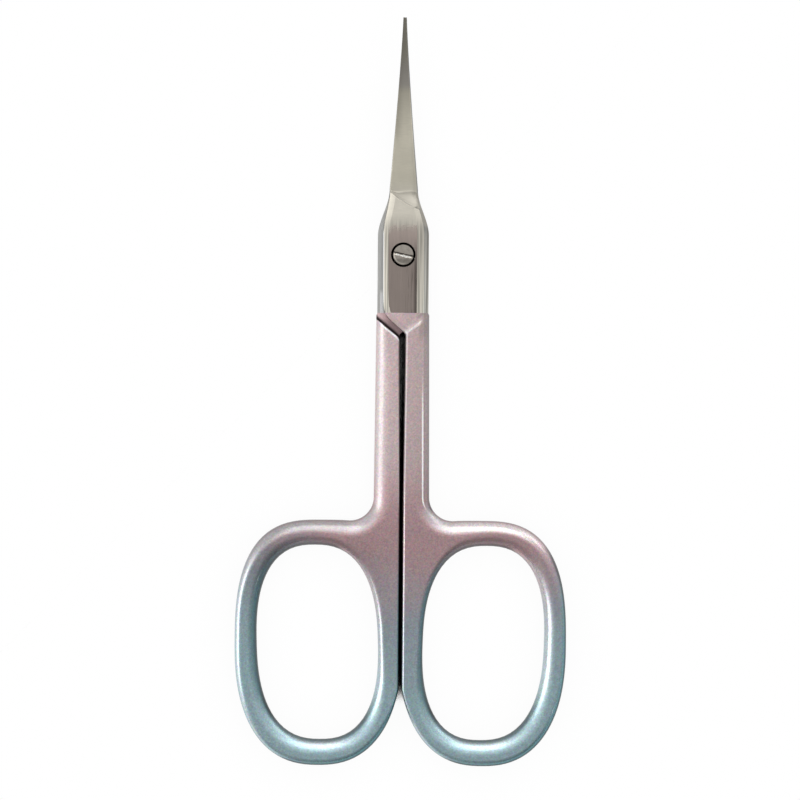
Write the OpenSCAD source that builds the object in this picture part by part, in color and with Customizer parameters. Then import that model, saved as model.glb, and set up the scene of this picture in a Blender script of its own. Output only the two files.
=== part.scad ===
// Cuticle scissors, closed and lying on the XY plane with the blades along +Y.
// The pivot axis is Z. The front half lies on top at the joint and carries the ring on +X.
// The back half is the same forging turned over, and carries the ring on -X.
// Both blades curve up together, so that their rubbing faces stay one surface of revolution
// about the pivot and slide past each other at every angle.

/* [Joint] */
// Width of the joint over both halves
joint_w = 6.5; // [5.8:0.1:7.4]
// Thickness of the joint over both halves
joint_t = 3.2; // [3:0.1:4]
// Gap between the rubbing faces of the two halves
face_gap = 0.08; // [0.05:0.01:0.12]
// How far each half stands back from the full width on its far side
far_step = 0.62; // [0.4:0.02:1]
// Distance from the pivot up to the joint's full width
joint_up = 2.4; // [1.8:0.1:3.2]
// Distance from the pivot down to the outer corner of each shank
shank_start = 8.2; // [7.6:0.1:9.4]
// Fall of the shank's upper end from its outer to its inner corner
shank_fall = 2.4; // [1.8:0.1:3]
// Width of the groove between one half's plate and the other half's shank
groove_w = 0.85; // [0.5:0.05:1.1]
// Width of the bevel along the far side of the plate
far_bevel_w = 0.74; // [0.4:0.02:0.9]

/* [Blades] */
// Reach of the blade tips from the pivot
blade_reach = 30.05; // [24:0.05:36]
// Distance from the pivot up to the heel of the blades
heel_up = 8.3; // [7.4:0.1:9.4]
// Width of each blade at its heel
heel_w = 3.6; // [3:0.1:4.2]
// Width of each blade at its tip
tip_w = 0.44; // [0.3:0.02:0.8]
// Thickness of each blade at its heel
heel_t = 1.35; // [1:0.05:1.4]
// Thickness of each blade at its tip
tip_t = 0.35; // [0.25:0.05:0.6]
// Height to which the blade tips curve up
tip_rise = 3; // [0:0.1:5]
// Run of the ground ramp between blade and plate, on the cutting side
ramp_run = 2.7; // [1.8:0.1:3.4]

/* [Handles] */
// Distance from the pivot to the foot of the rings
handle_reach = 64.95; // [60:0.05:72]
// Width over both rings
handle_w = 42.16; // [40:0.02:46]
// Thickness of shanks and rings
handle_t = 3.35; // [3.3:0.05:4.2]
// Outer height of each ring
ring_h = 31.2; // [29:0.1:34]
// Depth by which each ring's oval is cut flat at the middle of the slot
ring_cut = 0.24; // [0.1:0.02:0.6]
// Thickness of the ring on its outer side
outer_wall = 2.82; // [2.4:0.02:3.6]
// Thickness of the ring on its inner side, from the middle of the slot
inner_wall = 2.86; // [2.6:0.02:3.6]
// Thickness of the ring at its foot
foot_wall = 3.3; // [2.8:0.1:4]
// Thickness of the ring's full oval at its top
top_wall = 3.2; // [2.8:0.1:4]
// Outward lean of the finger holes, in degrees
hole_lean = 1.7; // [0:0.1:3]
// Width over both shanks at their upper end, which the lacquer makes wider than the joint
shank_top_w = 6.74; // [6.4:0.02:7.8]
// Width over both shanks where they meet the rings
shank_low_w = 7.06; // [6.6:0.02:8.2]
// Width of the slot between the shanks at its upper end
slot_top_w = 0.76; // [0.5:0.02:1]
// Width of the slot between the rings' inner sides
slot_w = 0.4; // [0.3:0.02:0.6]
// Radius of the fillet between shank and ring
web_round = 3; // [1.6:0.1:3.6]
// Rounding of the edges, measured across the handle
edge_round = 1.15; // [0.8:0.05:1.2]
// Rounding of the edges, measured through the thickness
edge_depth = 1.45; // [1:0.05:1.6]
// Rounding of the sharper edges along the slot
slot_round = 0.35; // [0.2:0.05:0.5]

/* [Pivot screw] */
// Diameter of the screw head
head_d = 2.65; // [2.2:0.05:3]
// Thickness of the screw head
head_t = 0.7; // [0.5:0.05:0.8]
// Gap around the screw head in its recess
head_gap = 0.2; // [0.1:0.05:0.3]
// Diameter of the screw's shank
screw_d = 2; // [1.6:0.05:2.1]
// Running clearance of the screw in the front half, measured on the radius
bore_gap = 0.05; // [0.03:0.01:0.08]
// Bite of the screw's thread into the back half, measured on the radius
thread_bite = 0.05; // [0.02:0.01:0.08]
// Width of the screwdriver slot
driver_w = 0.36; // [0.25:0.01:0.5]
// Depth of the screwdriver slot
driver_depth = 0.32; // [0.2:0.02:0.45]
// Turn of the screwdriver slot from the X axis, in degrees
driver_turn = -12; // [-90:1:90]

/* [Hidden] */

// Oval shapes: 2 would be an ellipse, and higher powers fill the corners
hole_power = 2.5;
foot_power = 2.4;
side_power = 2.75;
web_power = 4;
// Power by which the blade's sides draw in towards the tip
taper_power = 1.2;
// Softness of the corner between the plate's far side and its lower edge
corner_soft = 0.8;
// Run of the ramp on the spine side
ramp_far_run = 0.3;
// Radius of the shank's inner upper corner
notch_round = 0.5;
// Distance above the shoulder at which the shank has its full section, and the slope before it
crown_lead = 0.5;
crown_slope = 0.25;
// Relief of the blade's rubbing face behind the plate's, which leaves only the tips to touch
blade_relief = 0.02;
// Forged stock that is milled off the plate's rubbing face, and how far the cutter runs past the heel
stock = 0.4;
cutter_run = 0.4;
// Length by which cutting shapes overrun what they cut
overrun = 1;

// Columns of points down each side of a cross-section, from the rubbing face outwards:
// the inset as a share of the bevel's width, then the height as a share of the thickness
plate_own_shares = [[0, 0], [0, 0.12], [0, 0.24], [0, 0.36], [0.2, 0.6], [0.41, 0.87], [0.7, 0.94], [1, 1]];
plate_far_shares = [[0, 0], [0, 0.2], [0, 0.4], [0, 0.6], [0, 0.78], [0.12, 0.9], [0.55, 0.96], [1, 1]];
blade_own_shares = [[0, 0], [0, 0.03], [0, 0.06], [0, 0.08], [0.25, 0.29], [0.5, 0.5], [0.75, 0.56], [1, 0.62]];
blade_far_shares = [[0, 0], [0, 0.25], [0, 0.5], [0, 0.75], [0.08, 0.93], [0.25, 1], [0.6, 0.95], [1, 0.9]];
// Width of the plate's own-side bevels as a share of the half width on that side
own_bevel_share = 0.46;
// Width of each blade bevel as a share of the blade's width
blade_bevel_share = 0.24;

// Numbers of steps along the curves
blade_steps = 14;
ramp_steps = 3;
plate_steps = 24;
shank_steps = 8;
stem_steps = 16;
ring_steps = 56;
web_steps = 6;
notch_steps = 4;
$fn = 64;

parting_z = joint_t / 2;
plate_t = joint_t / 2 - face_gap / 2;
ring_w = handle_w / 2 + ring_cut;
ring_x = handle_w / 2 - ring_w / 2;
ring_y = ring_h / 2 - handle_reach;
hole_w = handle_w / 2 - outer_wall - inner_wall;
hole_h = ring_h - foot_wall - top_wall;
hole_x = handle_w / 2 - outer_wall - hole_w / 2;
hole_y = foot_wall + hole_h / 2 - handle_reach;
notch_y = -shank_start - shank_fall;
shoulder_run = (joint_w - slot_top_w) / 2;
web_x = shank_low_w / 2 + web_round;
web_y = oval_top(web_x) + web_round;
// Angle at which the ring's oval comes clear of the slot, and at which it reaches the web
slot_angle = oval_angle(slot_w / 2);
web_angle = 360 + atan2(oval_top(web_x) - ring_y, web_x - ring_x);
// Angle of the ring's topmost point, and the turn over which the slot's edge becomes the ring's
ring_top_angle = 450;
edge_turn = 30;
// Direction from the finger hole's centre to the middle of the web
web_angle_mid = atan2(web_y - hole_y, shank_low_w / 4 - hole_x);
// Angles of the points round the handle's rounded sides, from the underside to the upper side
round_angles = [-90, -60, -30, -1, 1, 30, 60, 90];
levels = len(round_angles);

function clamp(s) = max(0, min(1, s));
function mix(a, b, s) = a + (b - a) * s;
function ease(s) = clamp(s) * clamp(s) * (3 - 2 * clamp(s));
function soft_max(a, b, soft) = (a + b + sqrt((a - b) * (a - b) + soft * soft)) / 2;
function reversed(list) = [for (i = [len(list) - 1 : -1 : 0]) list[i]];

// Radius of an oval in the direction of an angle
function oval_radius(angle, w, h, power) =
    pow(pow(abs(cos(angle)) * 2 / w, power) + pow(abs(sin(angle)) * 2 / h, power), -1 / power);

// Height of the ring's upper side over a place on its inner half
function oval_top(x) = ring_y + ring_h / 2 * pow(1 - pow(abs(x - ring_x) * 2 / ring_w, web_power), 1 / web_power);

// Direction from the ring's centre to the point of its lower inner side that lies at x
function oval_angle(x) =
    let (across = (ring_x - x) * 2 / ring_w)
    180 + atan2(pow(1 - pow(across, foot_power), 1 / foot_power) * ring_h, across * ring_w);

// Power of the ring's oval at an angle: its lower half, its upper outer quarter and the part by the web
function outer_power(angle) = angle < 360 ? foot_power : angle > ring_top_angle ? web_power : side_power;

// Half of the slot's width at a height
function slot_half(y) = mix(slot_w, slot_top_w, clamp((y - web_y) / (notch_y - web_y))) / 2;

// Half of the blade's width at a height
function blade_half(y) =
    mix(tip_w, heel_w, pow(1 - clamp((y - heel_up) / (blade_reach - heel_up)), taper_power)) / 2;

// Thickness of the blade at a height
function blade_t(y) = mix(heel_t, tip_t, clamp((y - heel_up) / (blade_reach - heel_up)));

// Side of the half from the blade down to the joint's half width
function shoulder(y, half_w) =
    y > heel_up ? blade_half(y) : mix(heel_w / 2, half_w, ease((heel_up - y) / (heel_up - joint_up)));

// Place of the plate's lower edge, which keeps the groove clear of the other half's shank
function lower_edge_x(y) =
    let (lift = groove_w / cos(atan2(shank_fall, shoulder_run)))
    -joint_w / 2 + (lift - shank_start - y) * shoulder_run / shank_fall;

// Far side of blade and plate, down to where it becomes the side of the slot
function far_x(y) = y > joint_up ? -shoulder(y, joint_w / 2 - far_step) : min(
    soft_max(-shoulder(y, joint_w / 2 - far_step), lower_edge_x(y), corner_soft), slot_half(y));

// Height by which the rubbing face has curved up at a distance from the pivot
function curve_up(distance) = tip_rise * pow(max(0, distance - heel_up) / (blade_reach - heel_up), 2);

// Height above the table of a point that stands out from the rubbing face of a half,
// where side is 1 for the front half and -1 for the back half
function lifted(x, y, rise, side) =
    parting_z + curve_up(sqrt(x * x + y * y)) + side * (face_gap / 2 + rise);

// Column of points up one side of blade and plate. edge is the place of the side, inward points
// from it into the metal, and plate is 0 on the blade and 1 on the plate.
function side_column(edge, y, inward, plate, side) =
    let (
        far = inward > 0,
        blade_shares = far ? blade_far_shares : blade_own_shares,
        plate_shares = far ? plate_far_shares : plate_own_shares,
        blade_bevel = blade_bevel_share * 2 * blade_half(y),
        plate_bevel = far ? far_bevel_w : own_bevel_share * edge,
        column = [for (i = [0 : levels - 1])
            let (
                inset = mix(blade_shares[i][0] * blade_bevel, plate_shares[i][0] * plate_bevel, plate),
                blade_rise = blade_relief + blade_shares[i][1] * blade_t(y),
                plate_rise = plate_shares[i][1] * plate_t,
                rise = i == 0 && plate > 0 ? -stock : mix(blade_rise, plate_rise, plate),
                x = edge + inward * inset
            )
            [x, y, lifted(x, y, rise, side)]]
    )
    side > 0 ? column : reversed(column);

// Column of points up a rounded side of the handle at p = [x, y, rounding]
function round_column(p, inward) =
    [for (angle = round_angles)
        let (
            inset = p[2] * (1 - cos(angle)),
            depth = p[2] * edge_depth / edge_round,
            z = angle < 0 ? depth * (1 + sin(angle)) : handle_t - depth * (1 - sin(angle))
        )
        [p[0] + inset * inward[0], p[1] + inset * inward[1], z]];

// Columns of an outline's inner points, each drawn in square to the line between its neighbours.
// turn is 1 where the metal lies to the left of the outline's run and -1 where it lies to the right.
function round_columns(outline, turn) =
    let (n = len(outline))
    [for (i = [1 : n - 2])
        let (q = outline[i + 1] - outline[i - 1])
        round_column(outline[i], turn * [-q[1], q[0]] / norm([q[0], q[1]]))];

// Heights of the stations from the tip down to the shank, as [height on the far side,
// height on the own side, 0 on the blade to 1 on the plate]
function stations() =
    let (
        ramp_far = heel_up - ramp_far_run,
        ramp_own = heel_up - ramp_run,
        plate_far = notch_y + crown_lead + crown_slope,
        plate_own = -shank_start + crown_lead + crown_slope
    )
    concat(
        [for (i = [0 : blade_steps - 1])
            let (y = mix(blade_reach, heel_up, i / blade_steps)) [y, y, 0]],
        [for (i = [0 : ramp_steps])
            let (s = i / ramp_steps) [mix(heel_up, ramp_far, s), mix(heel_up, ramp_own, s), s]],
        [for (i = [1 : plate_steps])
            let (s = i / plate_steps) [mix(ramp_far, plate_far, s), mix(ramp_own, plate_own, s), 1]]
    );

// Outline of the handle down the slot, round the ring and up the outer side of the shank,
// as [x, y, rounding]
function shank_inner() = [for (i = [0 : shank_steps])
    let (y = mix(notch_y + crown_lead, web_y, i / shank_steps)) [slot_half(y), y, slot_round]];

function stem_inner() =
    let (end = ring_y + oval_radius(slot_angle, ring_w, ring_h, foot_power) * sin(slot_angle))
    [for (i = [1 : stem_steps])
        let (y = mix(web_y, end, i / stem_steps)) [slot_half(y), y, slot_round]];

function ring_outer() = [for (i = [1 : ring_steps])
    let (
        angle = mix(slot_angle, web_angle, i / ring_steps),
        r = oval_radius(angle, ring_w, ring_h, outer_power(angle)),
        rounding = mix(slot_round, edge_round, ease((angle - slot_angle) / edge_turn))
    )
    [ring_x + r * cos(angle), ring_y + r * sin(angle), rounding]];

function web_fillet() = [for (i = [1 : web_steps])
    let (angle = 270 - 90 * i / web_steps)
    [web_x + web_round * cos(angle), web_y + web_round * sin(angle), edge_round]];

function shank_outer() = [for (i = [shank_steps - 1 : -1 : 0])
    let (s = i / shank_steps)
    [mix(shank_top_w, shank_low_w, s) / 2, mix(crown_lead - shank_start, web_y, s), edge_round]];

// Finger hole, one point for each point of the outline that bounds the ring
function hole_outline() =
    let (angles = concat(
        [for (i = [0 : stem_steps]) mix(web_angle_mid, slot_angle, i / stem_steps)],
        [for (i = [1 : ring_steps]) mix(slot_angle, web_angle, i / ring_steps)],
        [for (i = [1 : web_steps - 1]) mix(web_angle, web_angle_mid + 360, i / web_steps)]))
    [for (angle = angles)
        let (r = oval_radius(angle, hole_w, hole_h, hole_power))
        [hole_x + r * cos(angle) + tan(hole_lean) * r * sin(angle), hole_y + r * sin(angle), edge_round]];

// One half before it is milled and drilled, as one skin of columns: down the far side from the
// tip, round the ring, and up the own side to the tip again, with the finger hole inside
module forging(side) {
    rows = stations();
    hole = hole_outline();
    m = len(hole);
    outline = concat([shank_inner()[0]], shank_inner(), stem_inner(), ring_outer(), web_fillet(),
        shank_outer(), [shank_outer()[shank_steps - 1]]);
    far_side = [for (row = rows) side_column(far_x(row[0]), row[0], 1, row[2], side)];
    own_side = [for (row = reversed(rows)) side_column(shoulder(row[1], joint_w / 2), row[1], -1, row[2], side)];
    columns = concat(far_side, round_columns(outline, 1), own_side,
        round_columns(concat([hole[m - 1]], hole, [hole[0]]), -1));
    points = [for (column = columns) each column];

    // The outer skin holds n columns, and the columns of the finger hole follow them
    n = len(columns) - m;
    top = levels - 1;
    web_at = len(rows) + shank_steps;
    outer_walls = [for (i = [0 : n - 1]) for (l = [0 : top - 1])
        let (a = i * levels + l, d = (i + 1) % n * levels + l)
        each [[a, a + 1, d + 1], [a, d + 1, d]]];
    hole_walls = [for (i = [0 : m - 1]) for (l = [0 : top - 1])
        let (a = (n + i) * levels + l, d = (n + (i + 1) % m) * levels + l)
        each [[a, d + 1, a + 1], [a, d, d + 1]]];
    ring_cap = [for (k = [0 : m - 1])
        let (a = web_at + k, b = n + k, c = n + (k + 1) % m)
        each [[a, b, c], [a, c, a + 1]]];
    long_cap = [for (j = [0 : web_at - 1])
        let (c = n - 1 - j)
        each [[j + 1, j, c], [j + 1, c, c - 1]]];
    cap = concat(ring_cap, long_cap, [[web_at, web_at + m, n]]);
    upper = [for (f = cap) [for (i = f) i * levels + top]];
    lower = [for (f = cap) [for (i = reversed(f)) i * levels]];
    polyhedron(points, concat(outer_walls, hole_walls, upper, lower), convexity = 8);
}

// Outline of the milling cut that leaves the plate: up from the shoulder and over the heel,
// with the shank's inner corner rounded
module lap_outline() {
    corner = [slot_half(notch_y), notch_y];
    outer = [joint_w / 2, -shank_start];
    along = (outer - corner) / norm(outer - corner);
    start = corner + notch_round * along;
    end = corner - [0, notch_round];
    polygon(concat(
        [for (i = [0 : notch_steps])
            let (s = i / notch_steps) mix(mix(start, corner, s), mix(corner, end, s), s)],
        [[-joint_w, end[1]], [-joint_w, heel_up + cutter_run], [joint_w, heel_up + cutter_run],
            outer + joint_w / 2 * along]));
}

module lap_cut(side) {
    low = side > 0 ? -overrun : parting_z - face_gap / 2;
    translate([0, 0, low]) linear_extrude(parting_z + face_gap / 2 + overrun) lap_outline();
}

// Hole along the pivot, right through the joint
module pivot_hole(d) {
    translate([0, 0, -overrun]) cylinder(h = handle_t + 2 * overrun, d = d);
}

module front_half() {
    color("rosybrown") difference() {
        forging(1);
        lap_cut(1);
        pivot_hole(screw_d + 2 * bore_gap);
        translate([0, 0, joint_t - head_t - face_gap / 2])
            cylinder(h = head_t + overrun, d = head_d + 2 * head_gap);
    }
}

module back_half() {
    color("lightsteelblue") mirror([1, 0, 0]) difference() {
        forging(-1);
        lap_cut(-1);
        pivot_hole(screw_d - 2 * thread_bite);
    }
}

module pivot_screw() {
    color("gainsboro") difference() {
        union() {
            cylinder(h = joint_t - head_t / 2, d = screw_d);
            translate([0, 0, joint_t - head_t]) cylinder(h = head_t, d = head_d);
        }
        rotate([0, 0, driver_turn]) translate([-head_d, -driver_w / 2, joint_t - driver_depth])
            cube([2 * head_d, driver_w, driver_depth + overrun]);
    }
}

front_half();
back_half();
pivot_screw();
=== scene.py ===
"""Cuticle scissors, closed and lying on a pale table, seen from straight above.

Lengths in the classes are millimetres. The pivot axis is Z, the blades point along +Y, and the
front half, on top at the joint, carries the ring on +X.
"""

import logging
import math
from collections.abc import Iterable, Sequence
from dataclasses import dataclass, field
from enum import Enum

import bmesh
import bpy
from bmesh.types import BMEdge, BMesh, BMVert
from mathutils import Matrix, Vector


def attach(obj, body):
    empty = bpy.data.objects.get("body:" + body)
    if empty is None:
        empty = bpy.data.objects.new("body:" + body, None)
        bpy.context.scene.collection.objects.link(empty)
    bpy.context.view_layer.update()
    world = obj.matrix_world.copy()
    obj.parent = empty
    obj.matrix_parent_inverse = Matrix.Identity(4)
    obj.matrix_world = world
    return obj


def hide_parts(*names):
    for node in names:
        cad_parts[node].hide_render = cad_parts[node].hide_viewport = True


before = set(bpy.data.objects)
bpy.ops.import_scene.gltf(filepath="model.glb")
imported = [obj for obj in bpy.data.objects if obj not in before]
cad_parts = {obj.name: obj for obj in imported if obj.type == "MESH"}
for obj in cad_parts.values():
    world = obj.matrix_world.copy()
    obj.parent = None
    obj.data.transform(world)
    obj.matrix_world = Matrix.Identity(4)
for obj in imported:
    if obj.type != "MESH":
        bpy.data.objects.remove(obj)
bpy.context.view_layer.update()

log = logging.getLogger("scissors")
MM = 0.001
ROUND_STEPS = 72


class Side(Enum):
    """Which of the two halves, and the sense in which its metal stands out from the rubbing face."""

    FRONT = 1
    BACK = -1


class Finish(Enum):
    """The record's material slots."""

    LACQUER = "pearl_lacquer"
    STEEL = "bare_steel"


def clamp(share: float) -> float:
    """Keep a share between 0 and 1."""
    return max(0.0, min(1.0, share))


def mix(start: float, end: float, share: float) -> float:
    """Go a share of the way from start to end."""
    return start + (end - start) * share


def ease(share: float) -> float:
    """Smooth a share at both ends."""
    s = clamp(share)
    return s * s * (3 - 2 * s)


def soft_max(a: float, b: float, soft: float) -> float:
    """The larger of two lengths, with a rounded corner where they cross."""
    return (a + b + math.hypot(a - b, soft)) / 2


def as_object(mesh: BMesh, name: str) -> bpy.types.Object:
    """Put a mesh into the scene as an object.

    Args:
        mesh: the mesh, which is freed.
        name: name of the object and its data.

    Returns:
        The new object, at the origin.
    """
    data = bpy.data.meshes.new(name)
    mesh.to_mesh(data)
    mesh.free()
    made = bpy.data.objects.new(name, data)
    bpy.context.scene.collection.objects.link(made)
    return made


def shade(mesh: BMesh, crisp: float) -> None:
    """Shade a mesh smooth, and sharp at edges past an angle.

    Args:
        mesh: the mesh.
        crisp: the angle in degrees.
    """
    for face in mesh.faces:
        face.smooth = True
    for edge in mesh.edges:
        edge.smooth = edge.calc_face_angle(math.pi) < math.radians(crisp)


@dataclass(frozen=True)
class Row:
    """A line across the blade or the plate, in the plan of a front half.

    Args:
        far_x, far_y: its end on the far side.
        own_x, own_y: its end on the own side.
        plate: 0 on the blade, 1 on the plate.
        sag: how far its middle lies off the straight line, towards the tip.
    """

    far_x: float
    far_y: float
    own_x: float
    own_y: float
    plate: float
    sag: float = 0.0

    def y_at(self, x: float) -> float:
        """Height of the line at a place across it."""
        across = (x - self.far_x) / (self.own_x - self.far_x)
        return mix(self.far_y, self.own_y, across) + self.sag * 4 * across * (1 - across)


@dataclass(frozen=True)
class Stop:
    """A point of the outline, in the plan of a front half.

    Args:
        x, y: its place.
        rounding: width of the edge's rounding there, on the handle.
        row: the line that ends there, on the blade and the plate.
        slant: slope along which the edge's rounding is cut across the lap.
    """

    x: float
    y: float
    rounding: float = 0.0
    row: Row | None = None
    slant: float = 0.0


class Skin:
    """A closed mesh that grows from loops of edges."""

    def __init__(self) -> None:
        """Start an empty mesh."""
        self.mesh: BMesh = bmesh.new()

    def line(self, points: Sequence[Vector], closed: bool = True) -> list[BMVert]:
        """Lay a line of edges through points.

        Args:
            points: the places, in order.
            closed: whether the last is joined to the first.

        Returns:
            The line's vertices, in the same order.
        """
        verts = [self.mesh.verts.new(p) for p in points]
        for a, b in zip(verts, verts[1:] + verts[:1] if closed else verts[1:]):
            self.mesh.edges.new((a, b))
        return verts

    def edges_of(self, verts: Sequence[BMVert], closed: bool = True) -> list[BMEdge]:
        """Edges between neighbours in a line of vertices."""
        after = [*verts[1:], *verts[:1]] if closed else verts[1:]
        return [self.mesh.edges.get((a, b)) for a, b in zip(verts, after)]

    def pull(self, verts: Sequence[BMVert], points: Sequence[Vector], closed: bool = True) -> list[BMVert]:
        """Extrude a line of vertices to new points.

        Args:
            verts: the line, in order.
            points: where each of its vertices goes.
            closed: whether the last vertex is joined to the first.

        Returns:
            The new line, in the same order.
        """
        made = bmesh.ops.extrude_edge_only(self.mesh, edges=self.edges_of(verts, closed))["geom"]
        fresh = {g for g in made if isinstance(g, BMVert)}
        line = [next(o for e in v.link_edges if (o := e.other_vert(v)) in fresh) for v in verts]
        for vert, point in zip(line, points):
            vert.co = point
        return line

    def bridge(self, first: Sequence[BMVert], second: Sequence[BMVert]) -> None:
        """Join two open lines of the same count with a strip of faces."""
        edges = self.edges_of(first, False) + self.edges_of(second, False)
        bmesh.ops.bridge_loops(self.mesh, edges=edges)

    def fill(self, edges: Iterable[BMEdge]) -> None:
        """Fill a flat outline and the holes in it.

        Args:
            edges: the edges of the outline and of the holes.
        """
        bmesh.ops.triangle_fill(
            self.mesh, edges=list(edges), use_beauty=True, use_dissolve=False, normal=(0, 0, 1)
        )

    def ring(self, radius: float, z: float) -> list[BMVert]:
        """Lay a circle round the pivot axis.

        Args:
            radius, z: its radius and height.

        Returns:
            Its vertices, in order.
        """
        verts = bmesh.ops.create_circle(
            self.mesh, segments=ROUND_STEPS, radius=radius, matrix=Matrix.Translation((0, 0, z))
        )["verts"]
        return sorted(verts, key=lambda v: math.atan2(v.co.y, v.co.x))

    def bore(self, ring: list[BMVert], steps: Sequence[tuple[float, float]]) -> list[BMVert]:
        """Extrude a circle along the pivot axis.

        Args:
            ring: the circle's vertices, in order.
            steps: radius and height of each further circle.

        Returns:
            The last circle.
        """
        for radius, z in steps:
            points = [Vector((v.co.x, v.co.y, 0)).normalized() * radius + Vector((0, 0, z)) for v in ring]
            ring = self.pull(ring, points)
        return ring

    def cut(self, y: float, keep_above: bool) -> None:
        """Cut square to Y, keep one part and close it with a flat face.

        Args:
            y: where to cut.
            keep_above: whether the part towards the tip is kept.
        """
        geom = [*self.mesh.verts, *self.mesh.edges, *self.mesh.faces]
        cut = bmesh.ops.bisect_plane(
            self.mesh,
            geom=geom,
            dist=1e-9,
            plane_co=(0, y, 0),
            plane_no=(0, 1, 0),
            clear_inner=keep_above,
            clear_outer=not keep_above,
        )["geom_cut"]
        edges = [g for g in cut if isinstance(g, BMEdge)]
        bmesh.ops.holes_fill(self.mesh, edges=edges, sides=0)

    def finish(self, name: str, crisp: float) -> bpy.types.Object:
        """Turn the skin into an object.

        Args:
            name: the piece's name.
            crisp: angle in degrees above which an edge is shaded sharp.

        Returns:
            The new object, at the origin.
        """
        bmesh.ops.recalc_face_normals(self.mesh, faces=self.mesh.faces)
        shade(self.mesh, crisp)
        return as_object(self.mesh, name)


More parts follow.
